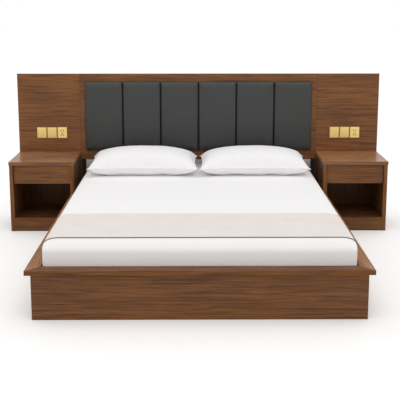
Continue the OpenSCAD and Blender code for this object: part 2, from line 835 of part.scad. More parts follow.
// The cabinet runner is a channel with lips, and the drawer runner a hat that they hold.
module cabinet_runner_profile() {
    depth = runner_space - slide_t - slide_clear;
    difference() {
        translate([0, -slide_h / 2]) square([depth, slide_h]);
        translate([slide_t, slide_t - slide_h / 2])
            square([depth - 2 * slide_t, slide_h - 2 * slide_t]);
        translate([slide_t, slide_t + slide_lip - slide_h / 2])
            square([depth, slide_h - 2 * slide_t - 2 * slide_lip]);
    }
}

module drawer_runner_profile() {
    brim_z = slide_h / 2 - slide_t - slide_clear;
    neck_z = slide_h / 2 - slide_t - slide_lip - slide_clear;
    brim_x = 2 * slide_t;
    for (side = [0, 1]) mirror([0, side]) {
        translate([brim_x, neck_z - slide_t]) square([slide_t, brim_z - neck_z + slide_t]);
        translate([brim_x, neck_z - slide_t]) square([runner_space - brim_x, slide_t]);
    }
    translate([runner_space - slide_t, -neck_z]) square([slide_t, 2 * neck_z]);
}

module runner_length() {
    l = box_end_y - box_y - slide_front_gap;
    translate([0, box_end_y, slide_z]) rotate([90, 0, 0]) linear_extrude(l) children();
}

module runner_pair() {
    translate([inner_face_x, 0, 0]) runner_length() children();
    translate([outer_face_x, 0, 0]) left() runner_length() children();
}

module cabinet_runners() {
    color(STEEL) both_sides() runner_pair() cabinet_runner_profile();
}

module drawer_runners() {
    color(STEEL) runner_pair() drawer_runner_profile();
}

module drawer_bottom() {
    color(BIRCH) block(
        [box_x0 + drawer_box_t - drawer_groove_d, box_y - drawer_groove_d, bottom_z],
        [box_x1 - drawer_box_t + drawer_groove_d, box_end_y, bottom_z + drawer_bottom_t]);
}

module drawer_front() {
    color(WALNUT) difference() {
        block([front_x0, front_y, front_low_z], [front_x1, box_y, front_top_z]);
        drawer_bottom();
    }
}

module drawer_sides() {
    color(BIRCH) difference() {
        for (x = [box_x0, box_x1 - drawer_box_t])
            block([x, box_y, box_low_z], [x + drawer_box_t, box_end_y, box_top_z]);
        drawer_bottom();
    }
}

module drawer_back() {
    color(BIRCH) block(
        [box_x0 + drawer_box_t, box_end_y - drawer_box_t, bottom_z + drawer_bottom_t],
        [box_x1 - drawer_box_t, box_end_y, box_top_z]);
}

foot_panel();
left() side_panel();  // left_side_panel
side_panel();  // right_side_panel
head_cross_rail();
foot_rim();
left() side_rim();  // left_rim
side_rim();  // right_rim
centre_beam();
centre_legs();
slat_ledgers();
slats();
corner_blocks();
joining_bolts();
mattress();
bed_runner();
left() pillow();  // left_pillow
pillow();  // right_pillow
left() wing_panel();  // left_wing_panel
wing_panel();  // right_wing_panel
centre_panel();
back_rails();
back_stiles();
lower_back_panel();
mattress_stop_pad();
pad_backboards();
upholstered_panel(1);  // upholstered_panel_1
upholstered_panel(2);  // upholstered_panel_2
upholstered_panel(3);  // upholstered_panel_3
upholstered_panel(4);  // upholstered_panel_4
upholstered_panel(5);  // upholstered_panel_5
upholstered_panel(6);  // upholstered_panel_6
switch_frames();
socket_faces();
wiring_boxes();
rocker(-1, 1);  // left_rocker_1
rocker(-1, 2);  // left_rocker_2
rocker(1, 1);  // right_rocker_1
rocker(1, 2);  // right_rocker_2
left() stand_top();  // left_stand_top
stand_top();  // right_stand_top
left() outer_side();  // left_outer_side
outer_side();  // right_outer_side
left() inner_side();  // left_inner_side
inner_side();  // right_inner_side
left() bottom_shelf();  // left_bottom_shelf
bottom_shelf();  // right_bottom_shelf
plinths();
left() back_panel();  // left_back_panel
back_panel();  // right_back_panel
cabinet_runners();
left() drawer_front();  // left_drawer_front
drawer_front();  // right_drawer_front
left() drawer_sides();  // left_drawer_sides
drawer_sides();  // right_drawer_sides
left() drawer_back();  // left_drawer_back
drawer_back();  // right_drawer_back
left() drawer_bottom();  // left_drawer_bottom
drawer_bottom();  // right_drawer_bottom
left() drawer_runners();  // left_drawer_runners
drawer_runners();  // right_drawer_runners
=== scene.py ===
"""A platform bed with attached nightstands: walnut veneer, leatherette pads, white bedding.

Every size is in metres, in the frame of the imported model: X runs across the bed, Y from the
foot to the headboard, and Z is up from the floor. Each sub-assembly is a class that builds its
soft and small pieces and dresses its CAD nodes.
"""

import logging
import math
from collections.abc import Callable, Sequence
from dataclasses import dataclass
from enum import Enum
from functools import cache

import bpy
from mathutils import Matrix, Vector, noise


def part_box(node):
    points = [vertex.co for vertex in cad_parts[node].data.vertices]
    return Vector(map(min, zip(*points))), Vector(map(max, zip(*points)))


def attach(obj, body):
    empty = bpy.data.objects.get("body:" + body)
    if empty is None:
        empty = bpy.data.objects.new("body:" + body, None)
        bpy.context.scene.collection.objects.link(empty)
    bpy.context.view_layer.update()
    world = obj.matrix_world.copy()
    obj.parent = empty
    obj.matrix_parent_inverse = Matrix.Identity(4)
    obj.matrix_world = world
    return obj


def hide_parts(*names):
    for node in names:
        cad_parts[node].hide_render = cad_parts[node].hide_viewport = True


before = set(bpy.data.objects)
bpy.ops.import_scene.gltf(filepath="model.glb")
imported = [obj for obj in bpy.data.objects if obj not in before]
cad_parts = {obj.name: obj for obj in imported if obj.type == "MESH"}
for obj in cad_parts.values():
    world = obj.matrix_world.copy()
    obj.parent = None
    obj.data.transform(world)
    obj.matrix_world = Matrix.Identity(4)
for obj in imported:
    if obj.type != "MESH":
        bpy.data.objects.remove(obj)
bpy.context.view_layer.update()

log = logging.getLogger("bed")

MM = 0.001
# Corners of one point lie closer than this in a CAD mesh.
WELD = 0.02 * MM
# Faces that meet at more than this keep a sharp edge.
CREASE = math.radians(40)
ROOT = "root"

Tree = bpy.types.NodeTree
Node = bpy.types.Node
Socket = bpy.types.NodeSocket
Piece = bpy.types.Object
Point = Callable[[Vector], Vector]


# ---- Finishes ----


class Axis(Enum):
    """The direction in which a board's grain runs."""

    X = 0
    Y = 1
    Z = 2


def linear(colour: str) -> tuple[float, float, float, float]:
    """Turns an sRGB hex colour to linear.

    Args:
        colour: The colour, such as "#805A3C".

    Returns:
        Linear red, green, blue and an alpha of 1.
    """
    shares = [int(colour[i : i + 2], 16) / 255 for i in (1, 3, 5)]
    lit = [s / 12.92 if s <= 0.04045 else ((s + 0.055) / 1.055) ** 2.4 for s in shares]
    return (*lit, 1.0)


def feed(tree: Tree, node: Node, inputs: dict[str | int, object]) -> None:
    """Links or sets some inputs of a node.

    Args:
        tree: The node tree.
        node: The node.
        inputs: What each input gets: a socket is linked, and anything else is its value.
    """
    for name, value in inputs.items():
        if isinstance(value, Socket):
            tree.links.new(value, node.inputs[name])
        else:
            node.inputs[name].default_value = value


def add(
    tree: Tree,
    kind: str,
    inputs: dict[str | int, object] | None = None,
    stops: Sequence[tuple[float, str]] = (),
    **settings: object,
) -> Node:
    """Adds a node with its settings and links.

    Args:
        tree: The node tree.
        kind: The node's type without "ShaderNode".
        inputs: What each input gets, as in feed.
        stops: Positions and hex colours, for a colour ramp.
        settings: The node's own properties.

    Returns:
        The new node.
    """
    node = tree.nodes.new("ShaderNode" + kind)
    for name, value in settings.items():
        setattr(node, name, value)
    feed(tree, node, inputs or {})
    for i, (position, colour) in enumerate(stops):
        elements = node.color_ramp.elements
        element = elements[i] if i < 2 else elements.new(position)
        element.position, element.color = position, linear(colour)
    return node


def calc(tree: Tree, operation: str, *values: object) -> Socket:
    """Adds a Math node and gives its result."""
    return add(tree, "Math", dict(enumerate(values)), operation=operation).outputs[0]


def remap(
    tree: Tree, value: Socket, low: float, high: float, start: float = 0.0, end: float = 1.0
) -> Socket:
    """Turns a value between start and end into one between low and high."""
    ends = {"From Min": start, "From Max": end, "To Min": low, "To Max": high}
    return add(tree, "MapRange", {"Value": value, **ends}).outputs["Result"]


def per_mm(size: float) -> float:
    """The texture scale at which one feature is size millimetres wide."""
    return 1 / (size * MM)


def speckle(tree: Tree, place: Socket, size: float, detail: float = 2.0, **more: float) -> Socket:
    """Adds noise whose features are size millimetres wide."""
    inputs = {"Vector": place, "Scale": per_mm(size), "Detail": detail, **more}
    return add(tree, "TexNoise", inputs).outputs["Fac"]


def shaded(tree: Tree, colour: object, shade: Socket) -> Socket:
    """Multiplies a colour, a socket or three linear shares, by a shade."""
    return add(tree, "VectorMath", {0: colour, "Scale": shade}, operation="SCALE").outputs["Vector"]


def mixed(tree: Tree, share: Socket, first: str, second: str) -> Socket:
    """Mixes two hex colours, by the second one's share."""
    inputs = {0: share, 6: linear(first), 7: linear(second)}
    return add(tree, "Mix", inputs, data_type="RGBA").outputs[2]


def dented(tree: Tree, height: Socket, strength: float, depth: float, **settings: bool) -> Socket:
    """Turns heights into a normal, with a relief of depth millimetres."""
    inputs = {"Height": height, "Strength": strength, "Distance": depth * MM}
    return add(tree, "Bump", inputs, **settings).outputs["Normal"]


@dataclass(frozen=True)
class Finish:
    """A finish with a name, from which a material is built once."""

    name: str

    @cache
    def material(self) -> bpy.types.Material:
        """Builds the material, or gives the one built before.

        Returns:
            The material with its nodes.
        """
        material = bpy.data.materials.new(self.name)
        material.use_nodes = True
        tree = material.node_tree
        self.wire(tree, tree.nodes["Principled BSDF"])
        return material

    def wire(self, tree: Tree, shader: Node) -> None:
        """Adds the finish's own nodes.

        Args:
            tree: The material's node tree.
            shader: Its Principled shader.
        """
        raise NotImplementedError


@dataclass(frozen=True)
class Veneer(Finish):
    """Sliced veneer on board, lacquered: long streaks over slow bands, with open pores."""

    grain: Axis
    shift: float
    dark: str
    middle: str
    light: str
    roughness: float
    ior: float
    # Painted light and shade: tone scales the faces that don't face the front, edge those that do.
    tone: float = 1.0
    edge: float = 1.0

    def wire(self, tree: Tree, shader: Node) -> None:
        """Adds the grain's nodes.

        Args:
            tree: The material's node tree.
            shader: Its Principled shader.
        """
        place = add(tree, "TexCoord").outputs["Object"]
        moved = [self.shift, self.shift * 1.7, self.shift * 2.3]

        def stretched(vector: Socket, share: float) -> Socket:
            """Stretches a pattern along the grain, to 1 / share of its width."""
            scale = [1.0, 1.0, 1.0]
            scale[self.grain.value] = share
            inputs = {"Vector": vector, "Location": moved, "Scale": scale}
            return add(tree, "Mapping", inputs).outputs["Vector"]

        # The board's slow drift bends the figure by up to 15 mm over half a metre.
        slow = {"Vector": stretched(place, 0.35), "Scale": per_mm(420), "Detail": 1.0}
        drift = add(tree, "TexNoise", slow).outputs["Color"]
        bend = (30 * MM,) * 3
        bent = add(
            tree, "VectorMath", {0: drift, 1: bend, 2: place}, operation="MULTIPLY_ADD"
        ).outputs["Vector"]
        # Growth bands, about 45 mm apart on flat-cut veneer
        bands = add(
            tree,
            "TexWave",
            {
                "Vector": stretched(bent, 0.05),
                "Scale": 2 * math.pi / (10 * 45 * MM),
                "Distortion": 5.0,
                "Detail": 2.0,
                "Detail Scale": 0.8,
                "Detail Roughness": 0.6,
            },
            bands_direction="DIAGONAL",
        ).outputs["Fac"]
        # Streaks 7 mm wide and 350 mm long, and fibres 2.5 mm wide
        streaks = speckle(tree, stretched(bent, 0.02), 7, Roughness=0.7)
        fibres = speckle(tree, stretched(bent, 0.02), 2.5)
        patches = speckle(tree, stretched(place, 0.3), 160)
        # Latewood: dark lines 2 mm wide and 13 mm apart, which come and go along the board
        ridge = speckle(tree, stretched(bent, 0.016), 14, 1.0)
        far = calc(tree, "ABSOLUTE", calc(tree, "SUBTRACT", ridge, 0.5))
        lines = remap(tree, far, 0.0, 1.0, end=0.045)
        figure = ((bands, 0.07), (streaks, 1.22), (fibres, 0.5), (patches, 0.55), (lines, 0.16))
        # Every pattern averages a half, so the sum averages 0.47, just below the middle colour.
        tone = 0.47 - 0.5 * sum(weight for _, weight in figure)
        for pattern, weight in figure:
            tone = calc(tree, "MULTIPLY_ADD", pattern, weight, tone)
        stops = ((0.28, self.dark), (0.72, self.light), (0.5, self.middle))
        ramp = add(tree, "ValToRGB", {"Fac": tone}, stops).outputs["Color"]
        # Pores, dashes of 1.2 by 30 mm, drawn wider than real ones so that they show
        pores = speckle(tree, stretched(place, 0.04), 1.2, 0.0)
        depth = remap(tree, pores, 0.0, 1.0, 0.3, 0.42)
        # Painted light and shade: faces towards the front take the edge tone and all others the
        # board's tone, which paints tops lighter and shaded faces darker; a front edge strip is
        # also a sheet of its own.
        normal = add(tree, "NewGeometry").outputs["Normal"]
        facing = add(
            tree, "VectorMath", {0: normal, 1: (0, -1, 0)}, operation="DOT_PRODUCT"
        ).outputs["Value"]
        sheet = remap(tree, facing, self.tone, self.edge, 0.6, 0.9)
        shade = calc(tree, "MULTIPLY", sheet, remap(tree, depth, 0.86, 1.0))
        looks = {
            "Base Color": shaded(tree, ramp, shade),
            "Roughness": remap(tree, fibres, self.roughness - 0.05, self.roughness + 0.07),
            "Normal": dented(tree, depth, 0.35, 0.12),
            "IOR": self.ior,
        }
        feed(tree, shader, looks)


class Shade(Enum):
    """Dark, middle and light colours of walnut; one set is paler to paint the light on tops."""

    FRESH = ("#66432B", "#7F5535", "#946139")
    # Painted light: paler, greyer colours for boards that face up, for the light and reflection
    # from above.
    PAINTED_TOP_LIGHT = ("#6B4B35", "#845F44", "#9A6C4B")


def walnut(
    grain: Axis,
    shift: float,
    tone: float = 1.0,
    edge: float = 1.0,
    ior: float = 1.25,
    shade: Shade = Shade.FRESH,
) -> Veneer:
    """Walnut sliced from the log and sprayed with a satin lacquer.

    The slicing gives long straight streaks, and the thin lacquer mirrors the white room only at
    low angles, so that tops look paler than fronts; tone, edge and shade add painted light and
    shade.

    Args:
        grain: The direction of the grain.
        shift: Moves the figure, so that two boards don't share one.
        tone: The painted light or shade on its faces that don't face the front.
        edge: The painted light or shade on its front faces, with its front strip's own tone.
        ior: How strongly its lacquer mirrors; an inner board has a thinner, duller coat.
        shade: Its colours; a paler, greyer set paints the light on a board that faces up.

    Returns:
        The finish.
    """
    name = f"walnut_veneer_{grain.name.lower()}_{round(shift * 10)}"
    return Veneer(name, grain, shift, *shade.value, roughness=0.26, ior=ior, tone=tone, edge=edge)


def birch(grain: Axis) -> Veneer:
    """Birch plywood and battens, sealed matt: pale, with a faint figure."""
    name = f"birch_plywood_{grain.name.lower()}"
    return Veneer(name, grain, 3.0, "#BFA273", "#CFB68B", "#DBC59E", roughness=0.5, ior=1.45)


@dataclass(frozen=True)
class Leatherette(Finish):
    """Embossed PVC leathercloth: a soft pebble grain, a low sheen and painted shade towards the
    bottom.
    """

    colour: str
    pebble: float = 2.6
    # Painted light and shade: the top's level, how much darker the bottom is, the heights between
    # which it darkens, and how sharply.
    painted_top_level: float = 1.08
    painted_shade_depth: float = 0.38
    painted_shade_span: tuple[float, float] = (0.6, 1.1)
    painted_shade_curve: float = 2.6

    def wire(self, tree: Tree, shader: Node) -> None:
        """Adds the pebble grain and the painted shade.

        Args:
            tree: The material's node tree.
            shader: Its Principled shader.
        """
        place = add(tree, "TexCoord").outputs["Object"]
        pebbles = {"Vector": place, "Scale": per_mm(self.pebble), "Randomness": 0.9}
        cells = add(tree, "TexVoronoi", pebbles, feature="SMOOTH_F1").outputs["Distance"]
        shade = remap(tree, speckle(tree, place, 90, 3.0), 0.9, 1.1)
        # Painted shade: the pads darken towards the bottom, most of all near the pillows,
        # and their top is painted a little lighter.
        height = add(tree, "SeparateXYZ", {"Vector": place}).outputs["Z"]
        shade_ramp = calc(tree, "POWER", remap(tree, height, 1.0, 0.0, *self.painted_shade_span), self.painted_shade_curve)
        painted_shade_factor = calc(tree, "MULTIPLY_ADD", shade_ramp, -self.painted_shade_depth, self.painted_top_level)
        shade = calc(tree, "MULTIPLY", shade, painted_shade_factor)
        looks = {
            "Base Color": shaded(tree, linear(self.colour)[:3], shade),
            "Roughness": remap(tree, cells, 0.42, 0.56),
            "Normal": dented(tree, cells, 0.25, 0.25, invert=True),
            "IOR": 1.42,
        }
        feed(tree, shader, looks)


@dataclass(frozen=True)
class WovenCloth(Finish):
    """Plain-woven cloth: crossed threads, slubs along both, and a soft sheen at its edges."""

    colour: str
    thread: float
    mottle: float
    warm: str
    depth: float = 0.3

    def wire(self, tree: Tree, shader: Node) -> None:
        """Adds the weave and its slubs.

        Args:
            tree: The material's node tree.
            shader: Its Principled shader.
        """
        place = add(tree, "TexCoord").outputs["Object"]
        heights, slubs = [], []
        for axis, stretch in (("X", (1.0, 0.08, 1.0)), ("Y", (0.08, 1.0, 1.0))):
            inputs = {"Vector": place, "Scale": 2 * math.pi / (20 * self.thread * MM)}
            heights.append(add(tree, "TexWave", inputs, bands_direction=axis).outputs["Fac"])
            mapping = add(tree, "Mapping", {"Vector": place, "Scale": stretch})
            slubs.append(speckle(tree, mapping.outputs["Vector"], 5 * self.thread))
        weave, slub = calc(tree, "ADD", *heights), calc(tree, "ADD", *slubs)
        height = calc(tree, "MULTIPLY_ADD", slub, 1.5, weave)
        # Three noises, each from 0 to 1, add up to 1.5 on average.
        blend = calc(tree, "ADD", speckle(tree, place, 120), slub)
        share = remap(tree, blend, 0.0, self.mottle, 1.0, 2.0)
        looks = {
            "Base Color": mixed(tree, share, self.colour, self.warm),
            "Normal": dented(tree, height, self.depth, 0.3),
            "Roughness": 0.85,
            "Specular IOR Level": 0.25,
            "Sheen Weight": 0.12,
            "Sheen Roughness": 0.4,
        }
        feed(tree, shader, looks)


@dataclass(frozen=True)
class BrushedMetal(Finish):
    """Metal brushed one way: fine lines along the brush, and a broad soft highlight."""

    colour: str
    roughness: float

    def wire(self, tree: Tree, shader: Node) -> None:
        """Adds the brush lines.

        Args:
            tree: The material's node tree.
            shader: Its Principled shader.
        """
        place = add(tree, "TexCoord").outputs["Object"]
        brushed = add(tree, "Mapping", {"Vector": place, "Scale": (0.03, 1.0, 1.0)})
        lines = speckle(tree, brushed.outputs["Vector"], 0.8)
        shade = remap(tree, lines, 0.94, 1.04)
        looks = {
            "Base Color": shaded(tree, linear(self.colour)[:3], shade),
            "Roughness": remap(tree, lines, self.roughness - 0.06, self.roughness + 0.08),
            "Normal": dented(tree, lines, 0.15, 0.05),
            "Metallic": 1.0,
        }
        feed(tree, shader, looks)


@dataclass(frozen=True)
class Moulding(Finish):
    """Moulded plastic or painted board: even colour with a faint mottle and an eggshell skin."""

    colour: str
    roughness: float
    skin: float = 1.5

    def wire(self, tree: Tree, shader: Node) -> None:
        """Adds the skin's texture.

        Args:
            tree: The material's node tree.
            shader: Its Principled shader.
        """
        place = add(tree, "TexCoord").outputs["Object"]
        shade = remap(tree, speckle(tree, place, 70), 0.93, 1.07)
        looks = {
            "Base Color": shaded(tree, linear(self.colour)[:3], shade),
            "Normal": dented(tree, speckle(tree, place, self.skin), 0.2, 0.1),
            "Roughness": self.roughness,
        }
        feed(tree, shader, looks)


# Grain pressed into vinyl breaks up every reflection, so the pads show a low even sheen.
CHARCOAL_LEATHERETTE = Leatherette("charcoal_leatherette_embossed", "#3A3B3A")
# Percale crosses fine matt threads: an even white with no highlight.
COTTON_SHEETING = WovenCloth("cotton_percale_white", "#F8F7F7", 1.2, 0.5, "#F5F3F2", 0.12)
# Sateen lets its threads float: a shade smoother and brighter than the sheet.
PILLOWCASE = WovenCloth("cotton_sateen_white", "#F7F5F6", 1.0, 0.5, "#F3F0F0", 0.1)
# Flax threads vary in thickness, which the eye reads as a fine oat-coloured mottle.
RUNNER_LINEN = WovenCloth("linen_plain_weave_oat", "#EDE6E1", 2.2, 1.0, "#E5DDD7", 0.35)
# Cotton tape sewn over a cord: a thin dark line that never shines.
PIPING_BROWN = WovenCloth("cotton_piping_brown", "#73614F", 1.5, 0.6, "#645344", 0.3)
# A coarse polyester weave scatters the light: a flat pale grey.
STOP_FABRIC = WovenCloth("polyester_upholstery_grey", "#D3CCC8", 1.8, 0.8, "#C6BFBA", 0.3)
# Brushing sideways spreads the highlight up and down: a broad soft gold, not a mirror.
BRASS = BrushedMetal("brass_brushed_lacquered", "#EACE86", 0.32)
# Painted shade: the frames' darker brass stands in for shade in the gaps round each plate.
SHADED_FRAME_BRASS = BrushedMetal("brass_brushed_aged", "#BE9C5A", 0.36)
# Plated zinc stays dull: a cool grey, bright only where it faces the light.
ZINC_STEEL = BrushedMetal("steel_zinc_plated", "#B3B6B9", 0.4)
# A pressed melamine film gives a near-black eggshell face.
CHARCOAL_BOARD = Moulding("melamine_board_charcoal", "#2C2B2A", 0.55)
# The mould's fine texture dulls PVC to an even mid grey.
BOX_PLASTIC = Moulding("pvc_moulded_grey", "#8A8D90", 0.5)
# Moulded nylon is dark and dull, so that the slots stand out of the brass.
LINER_NYLON = Moulding("nylon_moulded_umber", "#6A5633", 0.5)
# Polished polycarbonate: a pale smooth dot that catches a small highlight.
INDICATOR_PLASTIC = Moulding("polycarbonate_opal", "#F4EBCB", 0.25)


# ---- Making pieces ----


def limit(value: float, low: float = 0.0, high: float = 1.0) -> float:
    """Keeps a number between low and high."""
    return min(max(value, low), high)


def select_only(piece: Piece) -> None:
    """Selects one object alone and makes it the active one."""
    bpy.ops.object.select_all(action="DESELECT")
    piece.select_set(True)
    bpy.context.view_layer.objects.active = piece


def modify(piece: Piece, kind: str, **settings: object) -> None:
    """Adds a modifier and applies it.

    Args:
        piece: The object.
        kind: The modifier's type.
        settings: The modifier's own properties.
    """
    select_only(piece)
    modifier = piece.modifiers.new(kind.title(), kind)
    for name, value in settings.items():
        setattr(modifier, name, value)
    bpy.ops.object.modifier_apply(modifier=modifier.name)


def settle(piece: Piece, name: str) -> Piece:
    """Puts a piece's place into its mesh and names it.

    Args:
        piece: The object.
        name: Its name.

    Returns:
        The same object.
    """
    select_only(piece)
    bpy.ops.object.transform_apply(location=True, rotation=True, scale=True)
    piece.name = piece.data.name = name
    return piece


def reshape(piece: Piece, move: Point) -> None:
    """Moves each vertex of a mesh.

    Args:
        piece: The object.
        move: Gives a vertex's new place from its old one.
    """
    for vertex in piece.data.vertices:
        vertex.co = move(vertex.co)
    piece.data.update()


def pick_edges(piece: Piece, test: Callable[[Vector, Vector], bool]) -> None:
    """Opens a piece in edit mode with only some of its edges selected.

    Args:
        piece: The object.
        test: Says from an edge's two ends whether it is selected.
    """
    select_only(piece)
    bpy.context.tool_settings.mesh_select_mode = (False, True, False)
    bpy.ops.object.mode_set(mode="EDIT")
    bpy.ops.mesh.select_all(action="DESELECT")
    bpy.ops.object.mode_set(mode="OBJECT")
    points = piece.data.vertices
    for edge in piece.data.edges:
        edge.select = test(*(points[i].co for i in edge.vertices))
    bpy.ops.object.mode_set(mode="EDIT")


def node_copy(node: str, name: str) -> Piece:
    """A CAD node's mesh as a new closed piece.

    Args:
        node: The node's name.
        name: The new piece's name.

    Returns:
        The new object, with its doubles merged and no material.
    """
    piece = bpy.data.objects.new(name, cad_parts[node].data.copy())
    bpy.context.scene.collection.objects.link(piece)
    piece.data.materials.clear()
    select_only(piece)
    bpy.ops.object.mode_set(mode="EDIT")
    bpy.ops.mesh.select_all(action="SELECT")
    bpy.ops.mesh.remove_doubles(threshold=WELD)
    bpy.ops.mesh.normals_make_consistent(inside=False)
    bpy.ops.object.mode_set(mode="OBJECT")
    return piece


def twin(piece: Piece, name: str, offset: Vector) -> Piece:
    """A moved copy of a piece with its own mesh.

    Args:
        piece: The piece that is copied.
        name: The copy's name.
        offset: How far the copy is moved.

    Returns:
        The copy.
    """
    other = bpy.data.objects.new(name, piece.data.copy())
    other.data.name = name
    bpy.context.scene.collection.objects.link(other)
    reshape(other, lambda co: co + offset)
    return other


def dress(piece: Piece, finish: Finish) -> None:
    """Gives a piece its material and smooth shading with sharp corners kept."""
    piece.data.materials.clear()
    piece.data.materials.append(finish.material())
    select_only(piece)
    bpy.ops.object.shade_smooth_by_angle(angle=CREASE)


def dress_node(node: str, finish: Finish) -> None:
    """Gives a CAD node its material."""
    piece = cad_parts[node]
    for slot in piece.material_slots:
        slot.material = finish.material()


def ease(node: str, width: float = 1.2 * MM) -> None:
    """Takes the sharpness off a board's edges, as sanding and lacquer do.

    Args:
        node: The node's name.
        width: The width of the rounding.
    """
    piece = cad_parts[node]
    weld = piece.modifiers.new("Weld", "WELD")
    weld.merge_threshold = WELD
    bevel = piece.modifiers.new("Bevel", "BEVEL")
    bevel.width, bevel.segments = width, 2
    bevel.limit_method, bevel.angle_limit = "ANGLE", CREASE


@dataclass(frozen=True)
class Stuffing:
    """Blows a closed piece up as cloth under pressure, and limits how far it moves."""

    pressure: float = 4.0
    frames: int = 20
    cap: float = 8 * MM
    stiffness: float = 15.0
    bending: float = 0.5
    spare: float = 0.0

    def fill(self, piece: Piece, held: Callable[[Vector], float]) -> None:
        """Runs the cloth solver and keeps its result in the mesh.

        Args:
            piece: The object.
            held: How firmly a vertex is held, from 0 to 1.
        """
        before = [vertex.co.copy() for vertex in piece.data.vertices]
        group = piece.vertex_groups.new(name="held")
        for vertex in piece.data.vertices:
            group.add([vertex.index], held(vertex.co), "REPLACE")
        cloth = piece.modifiers.new("Cloth", "CLOTH")
        rules = cloth.settings
        rules.use_pressure = True
        rules.uniform_pressure_force = self.pressure
        rules.tension_stiffness = self.stiffness
        rules.compression_stiffness = self.stiffness
        rules.bending_stiffness = self.bending
        rules.effector_weights.gravity = 0
        rules.shrink_min = -self.spare
        rules.vertex_group_mass = "held"
        cloth.point_cache.frame_start, cloth.point_cache.frame_end = 1, self.frames
        for step in range(1, self.frames + 1):
            bpy.context.scene.frame_set(step)
        select_only(piece)
        bpy.ops.object.modifier_apply(modifier=cloth.name)
        bpy.context.scene.frame_set(1)
        piece.vertex_groups.clear()
        for vertex, start in zip(piece.data.vertices, before):
            move = vertex.co - start
            if move.length > self.cap:
                vertex.co = start + move * (self.cap / move.length)
        piece.data.update()


# ---- Bedding ----


@dataclass
class Mattress:
    """The mattress in its fitted sheet, whose top slopes to the foot edge."""

    voxel: float = 11 * MM
    ripple: float = 0.7 * MM
    corner_r: float = 60 * MM
    squareness: int = 5
    slope_l: float = 56 * MM
    slope_h: float = 46 * MM
    slope_curve: float = 1.25

    def build(self) -> Piece:
        """Makes the mattress.

        Returns:
            The piece.
        """
        piece = node_copy("mattress", "mattress_in_sheet")
        modify(piece, "REMESH", mode="VOXEL", voxel_size=self.voxel)
        modify(piece, "SMOOTH", factor=0.5, iterations=1)
        low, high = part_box("mattress")

        def pulled(co: Vector) -> Vector:
            """Squares the corners, slopes the foot edge and adds the sheet's slow waves."""
            half, middle = high.x - self.corner_r, (low.y + high.y) / 2
            long_half = high.y - middle - self.corner_r
            reach = Vector((abs(co.x) - half, abs(co.y - middle) - long_half))
            if reach.x > 0 and reach.y > 0:
                share, power = reach.normalized(), self.squareness
                wider = reach / (share.x**power + share.y**power) ** (1 / power)
                x = math.copysign(half + wider.x, co.x)
                co = Vector((x, co.y + math.copysign(wider.y - reach.y, co.y - middle), co.z))
            top = limit((co.z - low.z) / (high.z - low.z))
            slope = limit(1 - (co.y - low.y) / self.slope_l) ** self.slope_curve
            co = co - Vector((0, 0, slope * self.slope_h * top))
            wave = noise.noise(Vector((co.x * 3.1, co.y * 2.4, 4.0)))
            pleat = noise.noise(Vector((co.x * 14, co.y * 14, co.z * 2.5)))
            aside = math.copysign(1, co.x) * pleat * self.ripple * (1 - top)
            return co - Vector((0, 0, self.ripple * (1 + wave) * top)) + Vector((aside, 0, 0))

        reshape(piece, pulled)
        dress(piece, COTTON_SHEETING)
        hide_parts("mattress")
        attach(piece, ROOT)
        log.info("mattress: %d faces", len(piece.data.polygons))
        return piece


